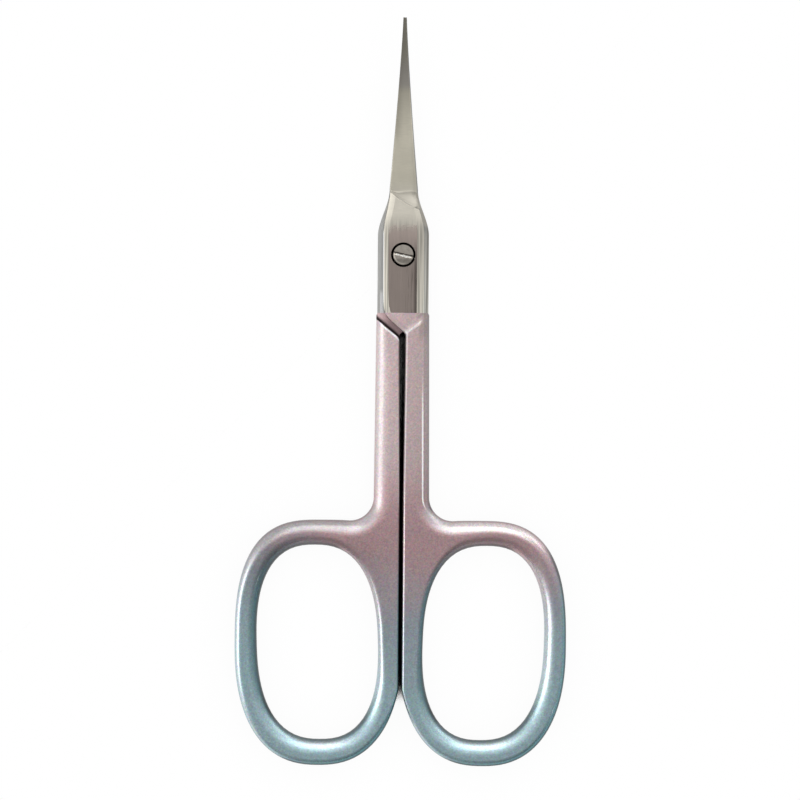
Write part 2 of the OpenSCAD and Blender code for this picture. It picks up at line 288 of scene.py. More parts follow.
@dataclass
class ScissorHalf:
    """One forging: blade, lap plate, shank and finger ring, bare above the paint line."""

    side: Side
    joint_w: float = 6.5
    joint_t: float = 3.2
    face_gap: float = 0.08
    far_step: float = 0.62
    joint_up: float = 2.4
    shank_start: float = 8.2
    shank_fall: float = 2.4
    groove_w: float = 0.85
    far_bevel_w: float = 0.74
    corner_soft: float = 0.8
    blade_reach: float = 30.05
    heel_up: float = 8.3
    heel_w: float = 3.6
    tip_w: float = 0.44
    heel_t: float = 1.35
    tip_t: float = 0.35
    tip_rise: float = 3.0
    ramp_run: float = 2.7
    ramp_far_run: float = 0.3
    taper_power: float = 1.2
    handle_reach: float = 64.95
    handle_w: float = 42.16
    handle_t: float = 3.35
    ring_h: float = 31.2
    ring_cut: float = 0.24
    outer_wall: float = 2.82
    inner_wall: float = 2.86
    foot_wall: float = 3.3
    top_wall: float = 3.2
    hole_lean: float = 1.7
    shank_top_w: float = 6.74
    shank_low_w: float = 7.06
    slot_top_w: float = 0.76
    slot_w: float = 0.4
    web_round: float = 3.0
    edge_round: float = 1.15
    edge_depth: float = 1.45
    slot_round: float = 0.35
    shoulder_round: float = 0.22
    notch_round: float = 0.5
    crown_lead: float = 0.5
    crown_slope: float = 0.25
    hole_power: float = 2.5
    foot_power: float = 2.4
    side_power: float = 2.75
    web_power: float = 4.0
    blade_relief: float = 0.02
    own_bevel_share: float = 0.46
    blade_bevel_share: float = 0.24
    paint_line: float = -7.38
    bore_radius: float = 1.05
    recess_radius: float = 1.525
    recess_depth: float = 0.74
    rim_chamfer: float = 0.05
    support: float = 0.03
    full_depth: float = 1.6
    ring_round: float = 0.8
    top_round: float = 1.7
    fillet_round: float = 2.2
    shank_round: float = 2.2
    corner_round: float = 1.5
    hole_round: float = 1.5
    stem_round: float = 0.85
    hole_foot_round: float = 2.1
    ridge: float = 0.14
    ramp_sag: float = -0.27
    ramp_hollow: float = 1.8
    ramp_narrow: float = 0.5
    rim_clearance: float = 0.35
    # How soon the ramp's sag runs out down the plate, in plates
    sag_end: float = 0.25
    # Degrees of the ring over which one rounding goes over into the next
    slot_fade: float = 30.0
    top_from: float = 380.0
    top_fade: float = 60.0
    fillet_fade: float = 20.0
    # Shares of the shank, from its top: end of the corner's rounding, start of the fillet's
    corner_end: float = 0.3
    fillet_from: float = 0.4
    # Cosine between two edges above which their corner is treated as smooth
    smooth_corner: float = 0.97
    # Angles in degrees above which an edge is shaded sharp
    steel_crisp: float = 7.0
    lacquer_crisp: float = 38.0
    lead_steps: int = 2
    blade_steps: int = 30
    ramp_steps: int = 12
    plate_steps: int = 40
    shank_steps: int = 12
    stem_steps: int = 20
    ring_steps: int = 96
    web_steps: int = 12
    notch_steps: int = 6
    shoulder_steps: int = 8
    rib_count: int = 8
    # Depths of the levels under the crown; the first is a support
    levels: tuple[float, ...] = (0, 0, 0.01, 0.04, 0.1, 0.2, 0.34, 0.54, 0.82, 1.18, 1.6)
    # Sections from the crown to the rubbing face: inset and height as shares
    plate_own: tuple[tuple[float, float], ...] = (
        (1.08, 1), (1, 1), (0.85, 0.97), (0.7, 0.94), (0.55, 0.905), (0.41, 0.87), (0.3, 0.735),
        (0.2, 0.6), (0.1, 0.48), (0, 0.36), (0, 0.18), (0, 0),
    )  # fmt: skip
    plate_far: tuple[tuple[float, float], ...] = (
        (1.3, 1), (1, 1), (0.78, 0.98), (0.55, 0.96), (0.33, 0.93), (0.12, 0.9), (0.06, 0.84),
        (0, 0.78), (0, 0.6), (0, 0.4), (0, 0.2), (0, 0),
    )  # fmt: skip
    blade_own: tuple[tuple[float, float], ...] = (
        (1.15, 0.64), (1, 0.62), (0.87, 0.6), (0.75, 0.58), (0.62, 0.553), (0.5, 0.52), (0.37, 0.475),
        (0.25, 0.42), (0.12, 0.33), (0.04, 0.22), (0, 0.08), (0, 0),
    )  # fmt: skip
    blade_far: tuple[tuple[float, float], ...] = (
        (1.15, 0.885), (1, 0.9), (0.8, 0.922), (0.6, 0.944), (0.42, 0.963), (0.25, 0.98), (0.14, 0.985),
        (0.07, 0.975), (0.03, 0.95), (0, 0.9), (0, 0.5), (0, 0),
    )  # fmt: skip

    def __post_init__(self) -> None:
        """Work out the places that follow from the sizes."""
        self.plate_t = (self.joint_t - self.face_gap) / 2
        self.ring_w = self.handle_w / 2 + self.ring_cut
        self.ring_x = (self.handle_w - self.ring_w) / 2
        self.ring_y = self.ring_h / 2 - self.handle_reach
        self.hole_w = self.handle_w / 2 - self.outer_wall - self.inner_wall
        self.hole_h = self.ring_h - self.foot_wall - self.top_wall
        self.hole_x = self.handle_w / 2 - self.outer_wall - self.hole_w / 2
        self.hole_y = self.foot_wall + self.hole_h / 2 - self.handle_reach
        self.notch_y = -self.shank_start - self.shank_fall
        self.shoulder_run = (self.joint_w - self.slot_top_w) / 2
        self.web_x = self.shank_low_w / 2 + self.web_round
        self.web_y = self.oval_top(self.web_x) + self.web_round
        across = (self.ring_x - self.slot_w / 2) * 2 / self.ring_w
        rise = (1 - across**self.foot_power) ** (1 / self.foot_power)
        self.slot_angle = 180 + math.degrees(math.atan2(rise * self.ring_h, across * self.ring_w))
        self.web_angle = 360 + math.degrees(
            math.atan2(self.oval_top(self.web_x) - self.ring_y, self.web_x - self.ring_x)
        )
        self.web_angle_mid = math.degrees(
            math.atan2(self.web_y - self.hole_y, self.shank_low_w / 4 - self.hole_x)
        )

    # Plan

    def oval(self, angle: float, width: float, height: float, power: float) -> tuple[float, float]:
        """Find a point of an oval in a direction from its centre.

        Args:
            angle: the direction in degrees.
            width, height: the oval's size.
            power: 2 for an ellipse, more for a squarer oval.

        Returns:
            The point, from the oval's centre.
        """
        c, s = math.cos(math.radians(angle)), math.sin(math.radians(angle))
        r = (abs(c * 2 / width) ** power + abs(s * 2 / height) ** power) ** (-1 / power)
        return r * c, r * s

    def oval_top(self, x: float) -> float:
        """Height of the ring's upper side over a place on its inner half."""
        across = abs(x - self.ring_x) * 2 / self.ring_w
        return self.ring_y + self.ring_h / 2 * (1 - across**self.web_power) ** (1 / self.web_power)

    def slot_half(self, y: float) -> float:
        """Half of the slot's width at a height."""
        return mix(self.slot_w, self.slot_top_w, clamp((y - self.web_y) / (self.notch_y - self.web_y))) / 2

    def blade_half(self, y: float) -> float:
        """Half of the blade's width at a height."""
        along = clamp((y - self.heel_up) / (self.blade_reach - self.heel_up))
        return mix(self.tip_w, self.heel_w, (1 - along) ** self.taper_power) / 2

    def blade_t(self, y: float) -> float:
        """Thickness of the blade at a height."""
        return mix(self.heel_t, self.tip_t, clamp((y - self.heel_up) / (self.blade_reach - self.heel_up)))

    def shoulder(self, y: float, half_w: float) -> float:
        """Half width from the blade down to the joint.

        Args:
            y: the height.
            half_w: the joint's half width.

        Returns:
            The half width at that height.
        """
        if y > self.heel_up:
            return self.blade_half(y)
        return mix(self.heel_w / 2, half_w, ease((self.heel_up - y) / (self.heel_up - self.joint_up)))

    def far_x(self, y: float) -> float:
        """Far side of blade and plate, down to where it becomes the side of the slot.

        Args:
            y: the height.

        Returns:
            The side's place across the half.
        """
        side = -self.shoulder(y, self.joint_w / 2 - self.far_step)
        if y > self.joint_up:
            return side
        lift = self.groove_w / math.cos(math.atan2(self.shank_fall, self.shoulder_run))
        low = -self.joint_w / 2 + (lift - self.shank_start - y) * self.shoulder_run / self.shank_fall
        return min(soft_max(side, low, self.corner_soft), self.slot_half(y))

    def row(self, far_y: float, own_y: float, plate: float, sag: float = 0.0) -> Row:
        """Lay a row between heights on the two sides."""
        own_x = self.shoulder(own_y, self.joint_w / 2)
        return Row(self.far_x(far_y), far_y, own_x, own_y, plate, sag)

    def rows(self) -> list[Row]:
        """Lay the rows from the tip down the blade, the ramp and the plate.

        Returns:
            The rows, from the tip down.
        """
        ramp_far, ramp_own = self.heel_up - self.ramp_far_run, self.heel_up - self.ramp_run
        low_far = self.notch_y + self.crown_lead + self.crown_slope
        low_own = -self.shank_start + self.crown_lead + self.crown_slope
        rows = []
        for i in range(self.blade_steps):
            y = mix(self.blade_reach, self.heel_up, i / self.blade_steps)
            rows.append(self.row(y, y, 0.0))
        for i in range(self.ramp_steps + 1):
            s = i / self.ramp_steps
            far_y, own_y = mix(self.heel_up, ramp_far, s), mix(self.heel_up, ramp_own, s)
            rows.append(self.row(far_y, own_y, s**self.ramp_hollow, s * self.ramp_sag))
        for i in range(1, self.plate_steps + 1):
            s = i / self.plate_steps
            far_y, own_y = mix(ramp_far, low_far, s), mix(ramp_own, low_own, s)
            rows.append(self.row(far_y, own_y, 1.0, (1 - clamp(s / self.sag_end)) * self.ramp_sag))
        return rows

    def handle_outline(self) -> list[Stop]:
        """Lay the handle's outline: down the slot, round the ring and up the shank's outer side.

        Returns:
            Its stops, from the plate's far side to its own side.
        """
        stops = []
        slant = self.shank_fall / self.shoulder_run
        corner = self.notch_y - self.notch_round
        for i in range(self.lead_steps + 1):
            y = mix(self.notch_y + self.crown_lead, corner, i / self.lead_steps)
            stops.append(Stop(self.slot_half(y), y, self.slot_round, slant=slant))
        for i in range(1, self.shank_steps + 1):
            y = mix(corner, self.web_y, i / self.shank_steps)
            stops.append(Stop(self.slot_half(y), y, self.slot_round))
        end = self.ring_y + self.oval(self.slot_angle, self.ring_w, self.ring_h, self.foot_power)[1]
        for i in range(1, self.stem_steps + 1):
            y = mix(self.web_y, end, i / self.stem_steps)
            stops.append(Stop(self.slot_half(y), y, self.slot_round))
        for i in range(1, self.ring_steps + 1):
            angle = mix(self.slot_angle, self.web_angle, i / self.ring_steps)
            power = self.foot_power if angle < 360 else self.web_power if angle > 450 else self.side_power
            x, y = self.oval(angle, self.ring_w, self.ring_h, power)
            rounding = mix(self.slot_round, self.ring_round, ease((angle - self.slot_angle) / self.slot_fade))
            rounding = mix(rounding, self.top_round, ease((angle - self.top_from) / self.top_fade))
            rounding = mix(rounding, self.fillet_round, ease((angle - self.web_angle) / self.fillet_fade + 1))
            stops.append(Stop(self.ring_x + x, self.ring_y + y, rounding))
        for i in range(1, self.web_steps + 1):
            angle = math.radians(270 - 90 * i / self.web_steps)
            x = self.web_x + self.web_round * math.cos(angle)
            y = self.web_y + self.web_round * math.sin(angle)
            stops.append(Stop(x, y, self.fillet_round))
        for i in range(self.shank_steps - 1, -1, -1):
            s = i / self.shank_steps
            x, y = mix(self.shank_top_w, self.shank_low_w, s) / 2, mix(-self.shank_start, self.web_y, s)
            rounding = mix(self.corner_round, self.shank_round, ease(s / self.corner_end))
            below = (s - self.fillet_from) / (1 - self.fillet_from)
            rounding = mix(rounding, self.fillet_round, ease(below))
            stops.append(Stop(x, y, rounding, slant=slant if i == 0 else 0.0))
        for i in range(1, self.lead_steps + 1):
            y = self.crown_lead * i / self.lead_steps - self.shank_start
            stops.append(Stop(self.shank_top_w / 2, y, self.corner_round, slant=slant))
        return stops

    def shoulder_line(self) -> list[Stop]:
        """Lay the shank's upper end from its outer corner to the slot, round at its inner corner.

        Returns:
            Its stops, without the two ends.
        """
        outer = Vector((self.shank_top_w / 2, -self.shank_start))
        corner = Vector((self.slot_half(self.notch_y), self.notch_y))
        start = corner + (outer - corner).normalized() * self.notch_round
        end = Vector((self.slot_half(self.notch_y - self.notch_round), self.notch_y - self.notch_round))
        points = [outer.lerp(start, i / self.shoulder_steps) for i in range(1, self.shoulder_steps)]
        for i in range(self.notch_steps):
            s = i / self.notch_steps
            points.append(start.lerp(corner, s).lerp(corner.lerp(end, s), s))
        return [Stop(p.x, p.y, self.shoulder_round) for p in points]

    def hole_outline(self, outside: Sequence[Stop]) -> list[Stop]:
        """Outline of the finger hole, rounded up to a ridge that it shares with the outside.

        Args:
            outside: the handle's outline.

        Returns:
            The hole's stops, counterclockwise.
        """
        stops = []
        for i in range(self.ring_steps):
            x, y = self.oval(i * 360 / self.ring_steps, self.hole_w, self.hole_h, self.hole_power)
            lean = math.tan(math.radians(self.hole_lean)) * y
            place = Vector((self.hole_x + x + lean, self.hole_y + y))
            wall, met = min(
                ((self.off_line(place, a, b), a.rounding) for a, b in zip(outside, outside[1:])),
                key=lambda pair: pair[0],
            )
            widest = mix(self.hole_round, self.stem_round, ease(-2 * x / self.hole_w))
            widest = mix(widest, self.hole_foot_round, ease(-2 * y / self.hole_h))
            stops.append(Stop(place.x, place.y, min(widest, wall - met - self.ridge)))
        return stops

    def off_line(self, place: Vector, start: Stop, end: Stop) -> float:
        """Measure how far a place is from the straight line between two stops.

        Args:
            place: the place.
            start, end: the two stops.

        Returns:
            The distance.
        """
        a, b = Vector((start.x, start.y)), Vector((end.x, end.y))
        along = clamp((place - a).dot(b - a) / (b - a).length_squared)
        return (place - a.lerp(b, along)).length

    # Heights

    def curve_up(self, x: float, y: float) -> float:
        """Rise of the rubbing face, which is a surface of revolution about the pivot."""
        beyond = max(0.0, math.hypot(x, y) - self.heel_up) if y > 0 else 0.0
        return self.tip_rise * (beyond / (self.blade_reach - self.heel_up)) ** 2

    def seat(self, x: float, y: float, z: float) -> Vector:
        """Place a point of the front half's plan in its own half."""
        return Vector((x * self.side.value, y, z)) * MM

    def off_face(self, x: float, y: float, rise: float) -> Vector:
        """Place a point that stands out from the rubbing face."""
        z = self.joint_t / 2 + self.curve_up(x, y) + self.side.value * (self.face_gap / 2 + rise)
        return self.seat(x, y, z)

    def crown_z(self, outer: bool) -> float:
        """Height of the handle's crown on the plate's side (outer) or on the other side."""
        return self.handle_t if outer == (self.side is Side.FRONT) else 0.0

    def round_inset(self, rounding: float, depth: float) -> float:
        """Inset of a rounded edge at a depth under the crown."""
        full = min(rounding * self.edge_depth / self.edge_round, self.full_depth)
        return rounding * (1 - math.sqrt(1 - (1 - depth / full) ** 2)) if depth < full else 0.0

    def rounded(self, stops: Sequence[Stop], i: int, depth: float, extra: float, turn: int) -> Vector:
        """Plan of an outline's point at a depth, drawn into the metal by the edges next to it.

        Args:
            stops: the closed outline.
            i: the point's number.
            depth: depth under the crown.
            extra: further inset.
            turn: 1 where the metal lies to the left of the outline's run, -1 to the right.

        Returns:
            The point, in the plan of a front half.
        """
        here, before, after = stops[i], stops[i - 1], stops[(i + 1) % len(stops)]
        one = turn * Vector((before.y - here.y, here.x - before.x)).normalized()
        two = turn * Vector((here.y - after.y, after.x - here.x)).normalized()
        reach = [
            self.round_inset(here.rounding if s.row else min(here.rounding, s.rounding), depth) + extra
            for s in (before, after)
        ]
        cos = one.dot(two)
        if cos > self.smooth_corner:
            shift = (one + two).normalized() * (reach[0] + reach[1]) / 2
        else:
            shift = one * (reach[0] - cos * reach[1]) + two * (reach[1] - cos * reach[0])
            shift /= 1 - cos * cos
        return Vector((here.x, here.y)) + shift

    def section(self, stop: Stop) -> list[Vector]:
        """Section of the blade or the plate from the crown to the rubbing face.

        Args:
            stop: the outline's point, at the end of a row.

        Returns:
            The section's points, from the crown down.
        """
        row = stop.row
        far = stop.x == row.far_x
        blade_bevel = self.blade_bevel_share * 2 * self.blade_half(stop.y)
        plate_bevel = self.far_bevel_w if far else self.own_bevel_share * stop.x
        blade, plate = (self.blade_far, self.plate_far) if far else (self.blade_own, self.plate_own)
        points = []
        for (inset_b, rise_b), (inset_p, rise_p) in zip(blade, plate):
            inset = mix(inset_b * blade_bevel, inset_p * plate_bevel, row.plate)
            inset *= 1 - self.ramp_narrow * 4 * row.plate * (1 - row.plate)
            x = stop.x + inset if far else stop.x - inset
            y = row.y_at(x)
            blade_rise = self.blade_relief + rise_b * self.blade_t(y)
            points.append(self.off_face(x, y, mix(blade_rise, rise_p * self.plate_t, row.plate)))
        return points

    def outer_columns(self, stops: Sequence[Stop], turn: int) -> list[list[Vector]]:
        """Lead every point of an outline from the crown on the plate's side to the lap.

        Args:
            stops: the closed outline.
            turn: as in rounded.

        Returns:
            A column of points for each stop.
        """
        crown, lap = self.crown_z(True), self.joint_t / 2 + self.side.value * self.face_gap / 2
        sense = 1 if crown < lap else -1
        columns = []
        for i, stop in enumerate(stops):
            if stop.row:
                columns.append(self.section(stop))
                continue
            column = []
            for k, depth in enumerate(self.levels):
                p = self.rounded(stops, i, depth, self.support if k == 0 else 0.0, turn)
                cut = stop.slant * (p.x - stop.x)
                column.append(self.seat(p.x, p.y + cut, crown + sense * depth))
            column.append(self.seat(stop.x, stop.y, lap))
            columns.append(column)
        return columns

    def inner_columns(self, stops: Sequence[Stop], turn: int) -> list[list[Vector]]:
        """Lead every point of a handle's outline from the lap to the crown on the other side.

        Args:
            stops: the closed outline.
            turn: as in rounded.

        Returns:
            A column of points for each stop.
        """
        crown = self.crown_z(False)
        sense = 1 if crown == 0.0 else -1
        columns = []
        for i in range(len(stops)):
            column = []
            for k, depth in reversed(list(enumerate(self.levels))):
                p = self.rounded(stops, i, depth, self.support if k == 0 else 0.0, turn)
                column.append(self.seat(p.x, p.y, crown + sense * depth))
            columns.append(column)
        return columns

    # Mesh

    def forge(self) -> Skin:
        """Grow the whole half.

        Returns:
            Its closed skin.
        """
        rows = self.rows()
        n = len(rows)
        far = [Stop(r.far_x, r.far_y, row=r) for r in rows]
        own = [Stop(r.own_x, r.own_y, row=r) for r in reversed(rows)]
        handle = self.handle_outline()
        stops = far + handle + own
        skin = Skin()

        def descend(columns: list[list[Vector]], line: list[BMVert] | None = None) -> list[list[BMVert]]:
            """Extrude a loop through the levels of its columns.

            Args:
                columns: the points of every vertex of the loop.
                line: the loop to start from, or None to lay the columns' first points.

            Returns:
                Every loop, the first one too.
            """
            loops = [line or skin.line([c[0] for c in columns])]
            for k in range(0 if line else 1, len(columns[0])):
                loops.append(skin.pull(loops[-1], [c[k] for c in columns]))
            return loops

        outer = descend(self.outer_columns(stops, 1))
        hole = self.hole_outline(handle)
        hole_outer = descend(self.outer_columns(hole, -1))
        bore = self.close_crown(skin, outer[0], hole_outer[0], rows)
        lap = outer[-1]

        # The shoulder closes the handle's loop across the lap
        first, last = n + self.lead_steps, n + len(handle) - 1 - self.lead_steps
        line = self.shoulder_line()
        shoulder = skin.line([self.off_face(s.x, s.y, 0) for s in line], closed=False)
        skin.mesh.edges.new((lap[last], shoulder[0]))
        skin.mesh.edges.new((shoulder[-1], lap[first]))
        inner_columns = self.inner_columns(stops[first : last + 1] + line, 1)
        corner, start = last - first, last - first + self.shoulder_steps
        for i in range(1, self.shoulder_steps):
            share = i / self.shoulder_steps
            pairs = zip(inner_columns[corner], inner_columns[start])
            inner_columns[corner + i] = [a.lerp(b, share) for a, b in pairs]
        inner = descend(inner_columns, lap[first : last + 1] + shoulder)
        hole_inner = descend(self.inner_columns(hole, -1), hole_outer[-1])
        skin.fill(skin.edges_of(inner[-1]) + skin.edges_of(hole_inner[-1]))

        # Rubbing face: a strip up the blade, and a flat face on the plate with the bore in it
        heel = self.blade_steps + self.ramp_steps
        m = len(lap)
        skin.bridge(lap[: heel + 1], [lap[m - 1 - i] for i in range(heel + 1)])
        plate = lap[heel : first + 1] + shoulder[::-1] + lap[last : m - heel]
        skin.fill(skin.edges_of(plate) + skin.edges_of(bore))
        return skin

    def close_crown(
        self, skin: Skin, crown: list[BMVert], hole: list[BMVert], rows: list[Row]
    ) -> list[BMVert]:
        """Close the crown on the plate's side and drill the bore.

        Args:
            skin: the half's skin.
            crown: the outline's highest loop, from the tip down the far side and back.
            hole: the finger hole's highest loop.
            rows: the rows of blade and plate.

        Returns:
            The bore's last circle, in the rubbing face.
        """
        m = len(crown)
        clear = self.recess_radius + self.rim_clearance
        ends = (-clear, clear)
        up = max(i for i, row in enumerate(rows) if min(row.y_at(x) for x in ends) > clear)
        down = min(i for i, row in enumerate(rows) if max(row.y_at(x) for x in ends) < -clear)
        web = len(rows) + self.lead_steps + self.shank_steps
        first = self.ribs(skin, crown, rows, 1, up)
        second = self.ribs(skin, crown, rows, down, web)
        skin.fill(skin.edges_of([*(line[0] for line in first), crown[m - 1], crown[0]]))
        ring, drilled = self.drill(skin, crown[up].co.z)
        panel = [line[-1] for line in first] + crown[m - 1 - down : m - 1 - up][::-1]
        panel += [line[0] for line in second][-2::-1] + crown[up + 1 : down][::-1]
        skin.fill(skin.edges_of(panel) + skin.edges_of(ring))
        loop = crown[web : m - web] + [line[-1] for line in second][-2:0:-1]
        skin.fill(skin.edges_of(loop) + skin.edges_of(hole))
        return drilled

    def ribs(
        self, skin: Skin, crown: list[BMVert], rows: list[Row], start: int, end: int
    ) -> list[list[BMVert]]:
        """Cover part of the crown with strips that run along it.

        Args:
            skin: the half's skin.
            crown: the outline's highest loop.
            rows: the rows of blade and plate.
            start, end: numbers of the first and the last row covered.

        Returns:
            The lines of vertices along the strips, from the far side to the own side.
        """
        m = len(crown)
        turned = self.side.value
        far = crown[start : end + 1]
        own = [crown[m - 1 - i] for i in range(start, end + 1)]
        lines = [far]
        for j in range(1, self.rib_count):
            points = []
            for k in range(start, end + 1):
                point = far[k - start].co.lerp(own[k - start].co, j / self.rib_count)
                if k < len(rows):
                    point.y = rows[k].y_at(point.x * turned / MM) * MM
                points.append(point)
            lines.append(skin.pull(lines[-1], points, closed=False))
        skin.bridge(lines[-1], own)
        return [*lines, own]

    def drill(self, skin: Skin, face: float) -> tuple[list[BMVert], list[BMVert]]:
        """Sink the bore, with the screw head's recess in the front half.

        Args:
            skin: the half's skin.
            face: height of the panel.

        Returns:
            The first circle, in the panel, and the last, in the rubbing face.
        """
        into = -self.side.value * MM
        lap = (self.joint_t / 2 + self.side.value * self.face_gap / 2) * MM
        front = self.side is Side.FRONT
        wide = self.recess_radius if front else self.bore_radius
        ring = skin.ring((wide + self.rim_chamfer) * MM, face)
        steps = [(wide * MM, face + self.rim_chamfer * into)]
        if front:
            floor = face + self.recess_depth * into
            steps += [(wide * MM, floor), (self.bore_radius * MM, floor)]
        return ring, skin.bore(ring, [*steps, (self.bore_radius * MM, lap)])

    def build(self) -> dict[Finish, bpy.types.Object]:
        """Make the bare and the lacquered piece of this half.

        Returns:
            The two pieces by finish.
        """
        word = self.side.name.lower()
        steel, lacquer = self.forge(), self.forge()
        steel.cut(self.paint_line * MM, keep_above=True)
        lacquer.cut(self.paint_line * MM, keep_above=False)
        return {
            Finish.STEEL: steel.finish(f"{word}_blade_and_joint", self.steel_crisp),
            Finish.LACQUER: lacquer.finish(f"{word}_lacquered_handle", self.lacquer_crisp),
        }


@dataclass
class PivotScrew:
    """The slotted screw, set flush in the front half and ending flush under the back half."""

    head_d: float = 2.65
    head_t: float = 0.7
    shank_d: float = 2.0
    joint_t: float = 3.2
    slot_w: float = 0.36
    slot_depth: float = 0.32
    slot_turn: float = -12.0
    head_break: float = 0.05
    tail_break: float = 0.06
    lip_break: float = 0.03
    lip_steps: int = 2
    # An edge of the slot's lip lies this close under the top and turns by more than this angle
    lip_below: float = 0.01
    lip_angle: float = 60.0
    weld: float = 0.001
    crisp: float = 20.0

    def turned(self) -> bpy.types.Object:
        """Turn the screw, with its two ends' edges broken.

        Returns:
            The screw without its slot.
        """
        skin = Skin()
        shank, head = self.shank_d / 2 * MM, self.head_d / 2 * MM
        low, top = (self.joint_t - self.head_t) * MM, self.joint_t * MM
        tail_break, head_break = self.tail_break * MM, self.head_break * MM
        tail = skin.ring(shank - tail_break, 0.0)
        skin.fill(skin.edges_of(tail))
        steps = [
            (shank, tail_break),
            (shank, low),
            (head, low),
            (head, top - head_break),
            (head - head_break, top),
        ]
        rim = skin.bore(tail, steps)
        skin.fill(skin.edges_of(rim))
        return skin.finish("slotted_pivot_screw", self.crisp)

    def build(self) -> bpy.types.Object:
        """Cut the slot into the turned screw and break its lips.

        Returns:
            The screw.
        """
        screw, top = self.turned(), self.joint_t * MM
        size = Matrix.Diagonal((2 * self.head_d * MM, self.slot_w * MM, 2 * self.slot_depth * MM, 1))
        turn = Matrix.Rotation(math.radians(self.slot_turn), 4, "Z")
        block = bmesh.new()
        bmesh.ops.create_cube(block, size=1.0, matrix=Matrix.Translation((0, 0, top)) @ turn @ size)
        cutter = as_object(block, "slot_cutter")
        cut = screw.modifiers.new("slot", "BOOLEAN")
        cut.operation, cut.object, cut.solver = "DIFFERENCE", cutter, "EXACT"
        evaluated = screw.evaluated_get(bpy.context.evaluated_depsgraph_get())
        screw.data = bpy.data.meshes.new_from_object(evaluated)
        screw.modifiers.clear()
        bpy.data.objects.remove(cutter)
        carved = bmesh.new()
        carved.from_mesh(screw.data)
        lip = [
            e
            for e in carved.edges
            if len(e.link_faces) == 2
            and min(v.co.z for v in e.verts) > top - self.lip_below * MM
            and e.calc_face_angle() > math.radians(self.lip_angle)
        ]
        bmesh.ops.bevel(
            carved, geom=lip, offset=self.lip_break * MM, offset_type="OFFSET",
            segments=self.lip_steps, profile=0.5, affect="EDGES", clamp_overlap=True, material=-1,
        )  # fmt: skip
        # The bevel leaves two points in one place at each end of the slot
        bmesh.ops.remove_doubles(carved, verts=carved.verts, dist=self.weld * MM)
        shade(carved, self.crisp)
        carved.to_mesh(screw.data)
        carved.free()
        return screw


Span = tuple[float, float]
Colour = tuple[float, float, float]


class Value:
    """A socket whose arithmetic adds Math nodes."""

    def __init__(self, graph: "Graph", socket: bpy.types.NodeSocket) -> None:
        """Wrap a socket of a graph."""
        self.graph, self.socket = graph, socket

    def _math(self, operation: str, *terms: "Value | float") -> "Value":
        """Add a Math node on the terms."""
        return self.graph.value("ShaderNodeMath", {"operation": operation}, dict(enumerate(terms)))

    def __add__(self, other: "Value | float") -> "Value":
        """Sum."""
        return self._math("ADD", self, other)

    __radd__ = __add__

    def __sub__(self, other: "Value | float") -> "Value":
        """Difference."""
        return self._math("SUBTRACT", self, other)

    def __rsub__(self, other: "Value | float") -> "Value":
        """Difference from a number."""
        return self._math("SUBTRACT", other, self)

    def __mul__(self, other: "Value | float") -> "Value":
        """Product."""
        return self._math("MULTIPLY", self, other)

    __rmul__ = __mul__

    def __truediv__(self, other: "Value | float") -> "Value":
        """Quotient."""
        return self._math("DIVIDE", self, other)

    def power(self, exponent: float) -> "Value":
        """Power."""
        return self._math("POWER", self, exponent)

    def sine(self) -> "Value":
        """Sine."""
        return self._math("SINE", self)

    def absolute(self) -> "Value":
        """Size without sign."""
        return self._math("ABSOLUTE", self)

    def largest(self, other: "Value | float") -> "Value":
        """The larger of the two."""
        return self._math("MAXIMUM", self, other)

    def step(self, low: float, high: float) -> "Value":
        """Mask with a smooth step.

        Args:
            low, high: where the mask is 0 and 1; low may be the larger.

        Returns:
            The mask.
        """
        settings = {"interpolation_type": "SMOOTHSTEP", "clamp": True}
        inputs = {"Value": self, "From Min": low, "From Max": high}
        return self.graph.value("ShaderNodeMapRange", settings, inputs)

    def band(self, rise: Span, fall: Span) -> "Value":
        """Mask that rises from 0 to 1 over one span and falls again over another."""
        return self.step(*rise) * self.step(fall[1], fall[0])

    def near(self, place: float, inner: float, outer: float) -> "Value":
        """Mask of a line: 1 within the inner distance of a place, and 0 past the outer."""
        return (self - place).absolute().step(outer, inner)

    def weighed(self, *parts: "tuple[float, Value]") -> "Value":
        """Brighten or darken by masks.

        Args:
            parts: pairs of a weight and a mask; a weight under 0 darkens.

        Returns:
            This value times 1 + weight * mask, for every pair.
        """
        tone = self
        for weight, mask in parts:
            tone = tone * (1.0 + weight * mask)
        return tone


